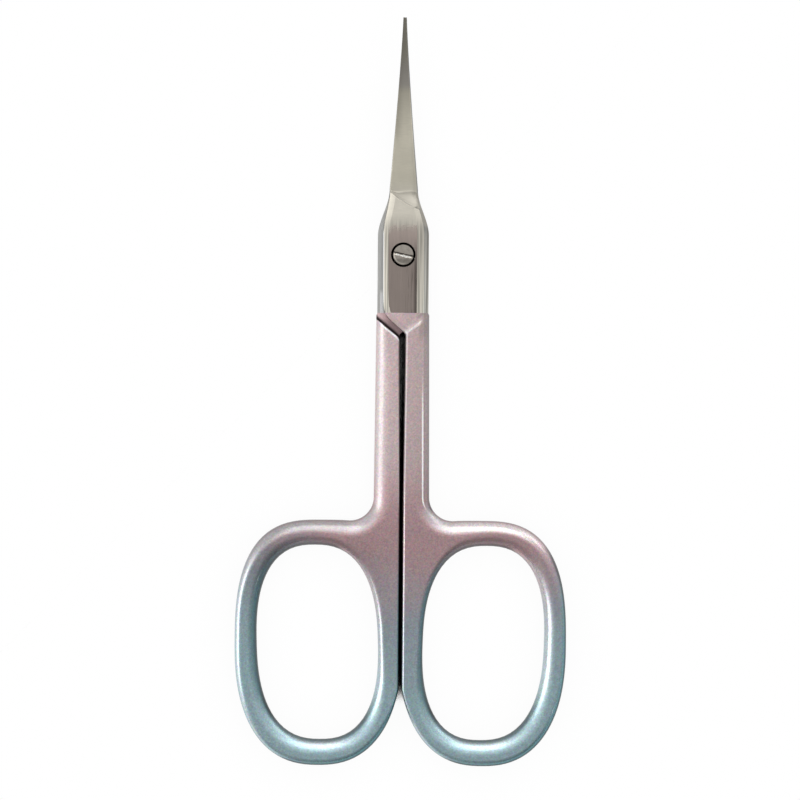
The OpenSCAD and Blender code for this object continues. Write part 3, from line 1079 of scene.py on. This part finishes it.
class Graph:
    """A node tree that is filled by calls."""

    def __init__(self, tree: bpy.types.NodeTree) -> None:
        """Empty a tree."""
        self.tree = tree
        tree.nodes.clear()

    def node(self, kind: str, settings: dict | None = None, inputs: dict | None = None) -> bpy.types.Node:
        """Add a node.

        Args:
            kind: the node's type.
            settings: its properties, set first; "stops" fills a colour ramp.
            inputs: values or links of its sockets, by name or number.

        Returns:
            The node.
        """
        made = self.tree.nodes.new(kind)
        for key, value in (settings or {}).items():
            if key == "stops":
                ramp = made.color_ramp
                while len(ramp.elements) < len(value):
                    ramp.elements.new(0.5)
                for element, (place, colour) in zip(ramp.elements, value):
                    element.position, element.color = place, (*colour, 1)
            else:
                setattr(made, key, value)
        for key, value in (inputs or {}).items():
            socket = value.socket if isinstance(value, Value) else value
            if isinstance(socket, bpy.types.NodeSocket):
                self.tree.links.new(socket, made.inputs[key])
            elif isinstance(socket, tuple) and len(socket) == 3 and len(made.inputs[key].default_value) == 4:
                made.inputs[key].default_value = (*socket, 1)
            else:
                made.inputs[key].default_value = socket
        return made

    def value(self, kind: str, settings: dict | None, inputs: dict | None, output: int | str = 0) -> Value:
        """Add a node and wrap one of its outputs."""
        return Value(self, self.node(kind, settings, inputs).outputs[output])

    def vector(self, operation: str, *terms: "Value | Colour | float") -> Value:
        """Add a Vector Math node, whose Scale takes its factor as a second term."""
        places = (0, 3) if operation == "SCALE" else (0, 1, 2)
        return self.value("ShaderNodeVectorMath", {"operation": operation}, dict(zip(places, terms)))

    def blend(self, share: "Value | float", a: "Value | Colour", b: "Value | Colour") -> Value:
        """Go a share of the way from colour a to colour b."""
        return self.value("ShaderNodeMix", {"data_type": "RGBA"}, {0: share, 6: a, 7: b}, 2)

    def split(self, vector: "Value | bpy.types.NodeSocket") -> list[Value]:
        """X, Y and Z of a vector."""
        return [Value(self, o) for o in self.node("ShaderNodeSeparateXYZ", None, {0: vector}).outputs]

    def place(self) -> tuple[Value, Value, Value, Value]:
        """Object coordinates in millimetres: the vector, then X, Y and Z."""
        place = self.vector("SCALE", self.value("ShaderNodeTexCoord", None, None, "Object"), 1 / MM)
        return place, *self.split(place)

    def facing(self) -> list[Value]:
        """X, Y and Z of the surface's own normal."""
        return self.split(self.value("ShaderNodeTexCoord", None, None, "Normal"))

    def noise(self, vector: Value, scale: float, detail: float = 2.0, rough: float = 0.5) -> Value:
        """Noise between 0 and 1."""
        inputs = {"Vector": vector, "Scale": scale, "Detail": detail, "Roughness": rough}
        return self.value("ShaderNodeTexNoise", None, inputs)

    def cells(self, vector: Value, scale: float) -> Value:
        """A random colour for each small cell."""
        return self.value("ShaderNodeTexVoronoi", None, {"Vector": vector, "Scale": scale}, "Color")

    def bump(self, height: Value, strength: float, distance: float) -> Value:
        """A normal from a height."""
        inputs = {"Height": height, "Strength": strength, "Distance": distance}
        return self.value("ShaderNodeBump", None, inputs)

    def close(self, inputs: dict) -> None:
        """Lead a Principled shader with these inputs to the material's output."""
        shader = self.node("ShaderNodeBsdfPrincipled", None, inputs)
        self.node("ShaderNodeOutputMaterial", None, {0: shader.outputs[0]})


def new_material(name: str) -> tuple[bpy.types.Material, Graph]:
    """Make an empty material.

    Args:
        name: its name.

    Returns:
        The material and its graph.
    """
    material = bpy.data.materials.new(name)
    material.use_nodes = True
    return material, Graph(material.node_tree)


# The masks of the finishes are limited by places on the object in millimetres or by parts of the
# unit normal. Their weights were set by comparing levels with the photograph, so they hold part of
# its lighting.


@dataclass(frozen=True)
class PearlLacquer:
    """Pearl lacquer that fades from pale pink at the joint through mauve to teal at the rings' foot."""

    # Height and colour of the fade's stops, from the rings' foot up
    fade: tuple[tuple[float, Colour], ...] = (
        (-58.0, (0.36, 0.51, 0.555)),
        (-47.5, (0.355, 0.395, 0.44)),
        (-38.5, (0.51, 0.335, 0.35)),
        (-32.0, (0.51, 0.335, 0.35)),
        (-26.0, (0.57, 0.44, 0.445)),
        (-15.0, (0.63, 0.49, 0.49)),
    )
    # Teal on the sides turned from the light: partly the pearl's own colour shift, partly painted shade
    pearl_teal_and_shade: Colour = (0.19, 0.43, 0.49)
    # White of the painted highlights
    painted_highlight: Colour = (0.90, 0.90, 0.91)
    # Colour of the lap, and the painted shadow it darkens to along the shoulder
    lap: Colour = (0.80, 0.60, 0.61)
    lap_shadow: Colour = (0.03, 0.018, 0.02)
    ring_centre: tuple[float, float] = (10.6, -49.0)
    top: float = -8.0
    bottom: float = -64.0
    # How far the fade wanders, and how much lower it runs per millimetre to the left and the right
    drift: float = 5.0
    spread_left: float = 0.40
    spread_right: float = 0.14
    flake_scale: float = 6.5
    # Scales of the fine flakes and of the tinted cells, in flake scales
    fine: float = 2.1
    tinted: float = 0.9
    tint: float = 0.26
    # The lap's height, and the slope of the shank's upper end from its outer corner
    lap_z: float = 1.6
    shoulder_x: float = 3.25
    shoulder_y: float = -8.2
    shoulder_slope: float = 0.836
    shoulder_cos: float = 0.767

    def faded(self, g: Graph, vector: Value, x: Value, y: Value) -> Value:
        """Colour of the fade.

        Args:
            g: the material's graph.
            vector, x, y: the place on the object.

        Returns:
            The colour.
        """
        drift = g.noise(vector, 0.15, 1.0) * self.drift - self.drift / 2
        shift = self.spread_left * (x * -1.0).largest(0.0) + self.spread_right * x.largest(0.0)
        length = self.top - self.bottom
        stops = [((height - self.bottom) / length, colour) for height, colour in self.fade]
        share = (y + drift - shift - self.bottom) / length
        return g.value("ShaderNodeValToRGB", {"stops": stops}, {0: share})

    def material(self) -> bpy.types.Material:
        """Build the lacquer.

        Returns:
            The material.
        """
        material, g = new_material("pearl_lacquer")
        vector, x, y, z = g.place()
        nx, ny, nz = g.facing()
        across, off_lap, level = x.absolute(), z - self.lap_z, nz.absolute()
        high = y.step(-36.0, -27.0)

        # Painted highlight on surfaces that face the bright side, with the fillets and the left flanks
        facing_light = (ny * 0.8 - nx * 0.55).step(0.15, 0.6)
        facing_light = facing_light * (1.0 - nx.step(-0.15, -0.4) * y.step(-54.0, -58.0))
        fillet = ny.step(0.08, 0.35) * y.band((-39.0, -35.0), (-29.0, -26.0))
        flank = (nx * -0.8 + ny * 0.3).step(0.15, 0.45)
        flank = flank * (1.0 - ny.step(0.0, 0.3) * y.step(-53.0, -57.0))
        facing_light = facing_light.largest(fillet * 1.7).largest(flank * 1.1) * level.step(0.35, 0.7)

        # Painted shade, with the pearl's teal, on surfaces that turn away from it and on their steep rim;
        # painted shade on the rings' inner foot and on faces towards the middle of a ring
        turned = nx * 0.8 - ny * 0.7
        away = turned.step(0.1, 0.9) * (1.0 - 0.9 * y.step(-46.0, -34.0))
        rim = level.step(0.86, 0.45) * turned.step(0.1, 0.4) * (1.0 - 0.55 * high)
        inner_foot_shade = level.step(0.90, 0.50) * ny.step(0.1, 0.5) * y.step(-44.0, -50.0)
        from_centre = x - (x.step(-0.01, 0.01) * 2.0 - 1.0) * self.ring_centre[0]
        inward_shade = (from_centre * nx + (y - self.ring_centre[1]) * ny * 0.5).step(-0.8, -3.5)
        inward_shade = inward_shade * turned.step(0.1, 0.5) * (1.0 - 1.4 * y.step(-42.0, -36.0))

        # Painted highlights on edges at the shank's upper end, by the distance above it, and the lap, whose
        # colour darkens to a painted shadow along the shoulder
        above = y - self.shoulder_y + (across * -1.0 + self.shoulder_x) * self.shoulder_slope
        above = above * self.shoulder_cos
        outer_half = x * off_lap
        shoulder = outer_half.step(0.3, -0.3) * above.band((-0.40, -0.22), (-0.08, 0.05))
        crease = outer_half.step(-0.3, 0.3) * above.near(0.42, 0.05, 0.17) * across.step(2.7, 2.2)
        ridge = (shoulder + crease * 0.8) * off_lap.absolute().step(1.1, 1.4)
        in_lap = y.step(-11.8, -11.4) * (1.0 - off_lap.absolute().step(0.05, 0.09))

        # Painted highlight along the right of a shank, and painted shade on the steep contour on the left
        glint = nx.near(0.51, 0.025, 0.055) * y.band((-33.0, -31.0), (-22.0, -14.0))
        contour_shade = level.step(0.50, 0.20) * nx.step(-0.90, -0.70)

        flakes = g.split(g.cells(vector, self.flake_scale))[0]
        fine = g.split(g.cells(vector, self.fine * self.flake_scale))[0]
        # Flake grain, then painted light: the right shank darker, painted shade on the contour, the glint
        # brightened, painted shade beyond it and on right-facing faces by the notch, the flanks and fillets
        # toned under their painted highlight, the left ring's top darker, and painted shade on the rim, the
        # inner foot and the inward faces
        tone = (0.85 + 0.21 * flakes + 0.10 * fine).weighed(
            (-0.12, high * x.step(-0.6, 0.6)),
            (-0.62, contour_shade),
            (0.7, glint),
            (-0.22, high * nx.step(0.54, 0.62)),
            (-0.2, nx.step(0.04, 0.3) * y.step(-11.5, -9.5)),
            (-0.13, flank * high),
            (-1.0, (0.40 - 0.16 * x.step(4.0, 9.0) + 0.14 * x.step(-5.0, -8.0)) * fillet),
            (-0.22, x.step(0.0, -8.0) * y.band((-46.0, -38.0), (-38.0, -35.5))),
            (-0.74, rim),
            (-0.72, inner_foot_shade),
            (-0.27, inward_shade),
        )
        painted_highlight = (facing_light * 0.36).largest(ridge * 0.85).largest(glint * 0.8)
        colour = g.blend(painted_highlight, self.faded(g, vector, x, y), self.painted_highlight)
        colour = g.blend(away * (1.0 - ridge), colour, self.pearl_teal_and_shade)
        cells = g.cells(vector, self.flake_scale * self.tinted)
        tints = g.vector("MULTIPLY_ADD", cells, (self.tint,) * 3, (1 - self.tint / 2,) * 3)
        colour = g.vector("MULTIPLY", g.vector("SCALE", colour, tone), tints)
        colour = g.blend(in_lap, colour, g.blend(above.step(0.14, 0.52), self.lap_shadow, self.lap))
        g.close(
            {
                "Base Color": colour,
                "Metallic": 0.85 - 0.5 * high,
                "Roughness": 0.31 + 0.10 * fine + 0.04 * high + 0.3 * in_lap,
                "Coat Weight": (0.6 - 0.6 * in_lap).weighed((-0.9, rim), (-0.9, inner_foot_shade)),
                "Coat Roughness": 0.12,
                "Normal": g.bump(flakes * 0.6 + fine * 0.4, 0.12, 0.02 * MM),
            }
        )
        return material


@dataclass(frozen=True)
class BareSteel:
    """Stainless steel: ground blades, and a polished panel round the screw."""

    ground: Colour = (0.66, 0.625, 0.545)
    blade: Colour = (0.74, 0.70, 0.58)
    tip: Colour = (0.73, 0.69, 0.62)
    panel: Colour = (0.66, 0.555, 0.50)
    ledge: Colour = (0.70, 0.70, 0.68)
    # Painted shade on steep faces
    steep_shade: Colour = (0.15, 0.155, 0.155)
    # Painted shadow in the screw's recess
    recess_shadow: Colour = (0.004, 0.003, 0.003)
    # Directions of the wear: across the blades, along the joint, and single scratches along it
    grind_grain: Colour = (0.5, 6.0, 0.5)
    draw_grain: Colour = (5.0, 0.2, 0.8)
    scratch_grain: Colour = (5.0, 0.08, 1.0)
    # Height at which the panel ends, and half of the zone in which it fades
    panel_top: float = 3.5
    panel_fade: float = 0.7
    crown: float = 3.2
    ledge_z: float = 1.56
    # Radius out to which the recess's painted shadow reaches
    recess_shadow_to: float = 1.585

    def painted_edge_lines(self, x: Value, y: Value, z: Value) -> Value:
        """Painted shade lines along the joint's edges, less the painted highlight lines.

        Args:
            x, y, z: the place on the object.

        Returns:
            The lines, above 0 where dark and under 0 where bright.
        """
        dark = (x.near(-2.24, 0.03, 0.11) + 0.8 * x.near(-1.93, 0.02, 0.09)) * z.step(2.85, 2.95)
        dark = dark + 0.35 * x.near(1.85, 0.05, 0.12)
        lap_edge = x.near(-2.56, 0.05, 0.12) + x.step(-2.4, -2.5) * y.step(-4.2, -5.8)
        bright = 1.9 * lap_edge + 0.5 * x.near(2.60, 0.03, 0.09) + 0.9 * x.near(2.86, 0.03, 0.09)
        return (dark - bright * z.step(1.7, 2.2)) * y.step(4.0, 2.0)

    def material(self) -> bpy.types.Material:
        """Build the steel.

        Returns:
            The material.
        """
        material, g = new_material("bare_steel")
        vector, x, y, z = g.place()
        nx, ny, nz = g.facing()
        grind = g.noise(g.vector("MULTIPLY", vector, self.grind_grain), 2.0, 3.0, 0.6)
        draw = g.noise(g.vector("MULTIPLY", vector, self.draw_grain), 1.1, 3.0, 0.65)
        scratch = g.noise(g.vector("MULTIPLY", vector, self.scratch_grain), 1.0, 1.0)
        stain = g.noise(vector, 0.5, 3.0)
        lines = grind + (draw - grind) * y.step(5.6, 3.0)

        # Zones: the polished panel, the blade, the wedge between them and the lap's ledge, and painted shade
        # on steep faces
        limit = y + 0.5 * (x * -1.0 - 1.0).largest(0.0) + 1.5 * (stain - 0.5)
        polished = limit.step(self.panel_top + self.panel_fade, self.panel_top - self.panel_fade)
        polished = polished * nz.step(0.985, 0.998) * z.step(self.crown - 0.12, self.crown - 0.05)
        on_blade = y.step(7.0, 10.0)
        wedge = ny.step(0.085, 0.20) * y.band((3.0, 4.5), (8.5, 9.5))
        flat = 1.0 - wedge
        ledge = z.near(self.ledge_z, 0.02, 0.04) * y.step(11.0, 5.0)
        colour = g.blend(on_blade, self.ground, self.blade)
        colour = g.blend(y.band((20.6, 21.8), (23.0, 26.0)), colour, self.tip)
        colour = g.blend(polished, colour, self.panel)
        colour = g.blend(ledge, colour, self.ledge)
        colour = g.blend(nz.absolute().step(0.80, 0.50) * flat, colour, self.steep_shade)

        bevel = (1.0 - polished) * flat * y.step(5.0, 2.0) * z.step(1.7, 1.8)
        # Painted highlight along the lap's edge on the left
        sheen = x.near(-2.68, 0.14, 0.26) * y.step(-4.2, -5.8) * ledge
        slim = y.step(13.0, 16.5)
        # Grain, stain and scratches, then: dark streaks and a darker right edge on the lower panel, the
        # painted edge lines and sheen, a lighter upper panel, a painted highlight on the plate's top by the
        # wedge, painted shade on the wedge, painted shade darkening to the tip with a painted highlight mid
        # blade, a darker band at the blade's heel, and painted shade on the blade's left half and left-facing
        # sides with a painted highlight on its right half
        tone = (0.80 + 0.18 * lines + 0.10 * stain + 2.2 * (scratch - 0.47) * bevel).weighed(
            (-0.6, draw.step(0.42, 0.66) * x.step(-0.2, 1.2) * y.step(0.5, -4.0) * polished),
            (-0.48, x.step(1.25, 1.55) * y.step(2.5, -2.0) * polished),
            (-0.4, self.painted_edge_lines(x, y, z) - 3.2 * sheen),
            (0.40, polished * y.step(-0.5, 3.4)),
            (0.38, y.band((3.2, 5.6), (7.8, 8.2)) * z.step(2.6, 2.9) * flat),
            (-0.58, wedge * (1.0 - 0.15 * x.step(-1.0, 1.6))),
            (-0.45, y.step(13.0, 28.0)),
            (0.2, y.band((12.0, 15.5), (20.4, 21.8))),
            (-0.1, on_blade * y.step(11.5, 9.5)),
            (-0.28, slim * x.step(0.1, -1.1)),
            (0.14, slim * x.step(0.4, 1.1)),
            (-0.5, y.step(11.0, 14.0) * nx.step(-0.25, -0.5)),
        )
        colour = g.vector("SCALE", colour, tone)

        # Painted shadow in the ring between the screw's head and its recess
        radius = (x * x + y * y).power(0.5)
        sunk = z.step(self.crown - 0.003, self.crown - 0.012) * z.step(1.8, 1.9)
        recess_shadow = radius.step(self.recess_shadow_to + 0.01, self.recess_shadow_to - 0.01) * sunk
        g.close(
            {
                "Base Color": g.blend(recess_shadow, colour, self.recess_shadow),
                "Metallic": 1.0,
                "Roughness": 0.36 + 0.12 * (lines - 0.5) - 0.22 * polished + 0.3 * recess_shadow,
                "Normal": g.bump(lines, 0.10, 0.01 * MM),
            }
        )
        return material


@dataclass(frozen=True)
class TurnedSteel:
    """The screw's steel, with rings left by turning and a scuffed slot."""

    steel: Colour = (0.56, 0.52, 0.46)
    dull: Colour = (0.38, 0.34, 0.30)
    shadow: Colour = (0.006, 0.005, 0.004)
    top: float = 3.2
    head_radius: float = 1.325
    slot_turn: float = -12.0
    # Turning rings, in radians per millimetre of radius
    ring_scale: float = 60.0

    def material(self) -> bpy.types.Material:
        """Build the screw's steel.

        Returns:
            The material.
        """
        material, g = new_material("turned_steel")
        vector, x, y, z = g.place()
        radius = (x * x + y * y).power(0.5)
        turn = math.radians(self.slot_turn)
        along = x * math.cos(turn) + y * math.sin(turn)
        across = y * math.cos(turn) - x * math.sin(turn)
        scuff = g.noise(vector, 2.2, 4.0, 0.7)
        ragged = g.noise(vector, 5.0, 2.0, 0.6)
        lines = (radius * self.ring_scale).sine() * 0.5 + 0.5
        worn = scuff.step(0.35, 0.7) * 0.7 + 0.3 * across.absolute().step(0.9, 0.2)

        # Painted highlights on the slot's lower lip and on the lower left of the rim, and painted shade on
        # the slot's upper wall. The head is also darker towards -Y.
        lip = (across + 0.12 + 0.5 * (ragged - 0.5)).absolute().step(0.16, 0.06)
        lip = lip * along.absolute().step(1.25, 0.9) * (0.6 + 0.4 * scuff.step(0.3, 0.6))
        arc_highlight = radius.band((1.0, 1.14), (1.18, 1.26)) * (x * -0.7 - y * 0.7).step(0.3, 0.9)
        wall = z.step(self.top - 0.05, self.top - 0.12) * (across + 0.1).step(0.02, 0.16)
        tone = (1.0 + 1.9 * lip + 0.8 * arc_highlight - 0.75 * wall).weighed((-0.4, y.step(-0.3, -0.7)))
        side = radius.step(self.head_radius - 0.06, self.head_radius - 0.035) * z.step(1.8, 1.9)
        colour = g.vector("SCALE", g.blend(worn, self.steel, self.dull), tone)
        g.close(
            {
                "Base Color": g.blend(side, colour, self.shadow),
                "Metallic": 1.0,
                "Roughness": 0.26 + 0.14 * scuff,
                "Normal": g.bump(lines * 0.5 + scuff, 0.25, 0.01 * MM),
            }
        )
        return material


@dataclass(frozen=True)
class SoftLamp:
    """A square lamp: its direction in degrees, its side in metres and its face's radiance."""

    azimuth: float
    elevation: float
    size: float
    radiance: float


@dataclass
class Studio:
    """Table, lights and the camera of the photograph."""

    # Millimetres per pixel, and the pivot's place in the photograph
    pixel: float = 0.12726
    pivot_px: tuple[float, float] = (403.3, 255.0)
    picture_px: float = 800.0
    roll: float = 0.45
    lens: float = 300.0
    sensor: float = 36.0
    # Height at which a pixel has that size
    level: float = 1.675
    lamps: dict[str, SoftLamp] = field(
        default_factory=lambda: {
            "left_softbox": SoftLamp(178.0, 26.0, 0.34, 2.4),
            "top_softbox": SoftLamp(86.0, 43.0, 0.42, 2.2),
            "corner_softbox": SoftLamp(48.0, 15.0, 0.30, 1.7),
            "small_lamp": SoftLamp(-25.0, 28.0, 0.025, 30.0),
        }
    )
    # In metres: how far the lamps hang from their aim, the aim's Y and half of the table's side
    lamp_distance: float = 0.6
    aim_y: float = -0.018
    table_half: float = 2.0
    # Ambient occlusion that paints shadow into narrow gaps on the table: reach in metres and rays
    gap_reach: float = 0.006
    gap_rays: int = 48

    def camera(self) -> None:
        """Hang the camera over the table with the photograph's framing and roll."""
        data = bpy.data.cameras.new("camera")
        data.lens, data.sensor_width = self.lens, self.sensor
        turn = math.radians(self.roll)
        right = self.picture_px / 2 - self.pivot_px[0]
        up = self.pivot_px[1] - self.picture_px / 2
        x = (right * math.cos(turn) - up * math.sin(turn)) * self.pixel
        y = (right * math.sin(turn) + up * math.cos(turn)) * self.pixel
        height = self.picture_px * self.pixel * self.lens / self.sensor
        camera = bpy.data.objects.new("camera", data)
        camera.location = Vector((x, y, self.level + height)) * MM
        camera.rotation_euler = (0, 0, turn)
        data.clip_start, data.clip_end = 0.01, 20.0
        bpy.context.scene.collection.objects.link(camera)
        bpy.context.scene.camera = camera

    def lights(self) -> None:
        """Hang the soft lamps."""
        for name, lamp in self.lamps.items():
            data = bpy.data.lights.new(name, "AREA")
            data.shape, data.size = "SQUARE", lamp.size
            data.energy = lamp.radiance * math.pi * lamp.size * lamp.size
            a, e = math.radians(lamp.azimuth), math.radians(lamp.elevation)
            away = Vector((math.cos(a) * math.cos(e), math.sin(a) * math.cos(e), math.sin(e)))
            hung = bpy.data.objects.new(name, data)
            hung.location = away * self.lamp_distance + Vector((0, self.aim_y, 0))
            hung.rotation_mode = "QUATERNION"
            hung.rotation_quaternion = away.to_track_quat("Z", "Y")
            bpy.context.scene.collection.objects.link(hung)

    def room(self) -> None:
        """Build a plain room: brighter to the north and west, darker overhead, white at the horizon."""
        world = bpy.data.worlds.new("room")
        bpy.context.scene.world = world
        world.use_nodes = True
        g = Graph(world.node_tree)
        east, north, up = g.split(g.value("ShaderNodeTexCoord", None, None, "Generated"))
        level = 0.27 + 0.36 * north.step(-0.50, -0.08) + 0.25 * north.step(-0.1, 0.35) - 0.24 * east
        level = level.weighed((-0.48, up.step(0.96, 0.995)))
        level = level + (1.0 - level) * up.step(0.16, 0.03)
        shader = g.node("ShaderNodeBackground", None, {"Color": level, "Strength": 1.0})
        g.node("ShaderNodeOutputWorld", None, {0: shader.outputs[0]})

    def table(self) -> None:
        """Lay a wide pale table that shows white, with a painted shadow from ambient occlusion in narrow gaps
        and a faint one at the contact.
        """
        mesh = bmesh.new()
        bmesh.ops.create_grid(mesh, x_segments=1, y_segments=1, size=self.table_half)
        table = as_object(mesh, "table")
        material, g = new_material("pale_table")
        rays, reach = {"samples": self.gap_rays}, {"Distance": self.gap_reach}
        open_sky = g.value("ShaderNodeAmbientOcclusion", rays, reach, "AO")
        shadowed_white = open_sky.step(0.16, 0.24) * (0.95 + 0.05 * open_sky)
        path = g.node("ShaderNodeLightPath").outputs
        camera, glossy, through = (
            Value(g, path[f"Is {kind} Ray"]) for kind in ("Camera", "Glossy", "Transmission")
        )
        seen = camera.largest(glossy).largest(through)
        diffuse = g.node("ShaderNodeBsdfDiffuse", None, {"Color": (0.85, 0.85, 0.85)})
        white = g.node("ShaderNodeEmission", None, {"Color": shadowed_white, "Strength": 1.0})
        mixed = g.node("ShaderNodeMixShader", None, {0: seen, 1: diffuse.outputs[0], 2: white.outputs[0]})
        g.node("ShaderNodeOutputMaterial", None, {0: mixed.outputs[0]})
        table.data.materials.append(material)


def main() -> None:
    """Build, dress and light the scissors."""
    logging.basicConfig(level=logging.INFO, format="%(message)s")
    bpy.context.scene.view_settings.view_transform = "Standard"
    studio = Studio()
    studio.camera()
    studio.lights()
    studio.room()
    studio.table()
    finishes = {Finish.LACQUER: PearlLacquer().material(), Finish.STEEL: BareSteel().material()}
    for side, body in ((Side.FRONT, "front"), (Side.BACK, "back")):
        for finish, piece in ScissorHalf(side).build().items():
            piece.data.materials.append(finishes[finish])
            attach(piece, body)
            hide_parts(f"{body}_half")
            log.info("%s: %d faces", piece.name, len(piece.data.polygons))
    screw = PivotScrew().build()
    screw.data.materials.clear()
    screw.data.materials.append(TurnedSteel().material())
    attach(screw, "back")
    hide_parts("pivot_screw")
    log.info("%s: %d faces", screw.name, len(screw.data.polygons))


if __name__ == "__main__":
    main()
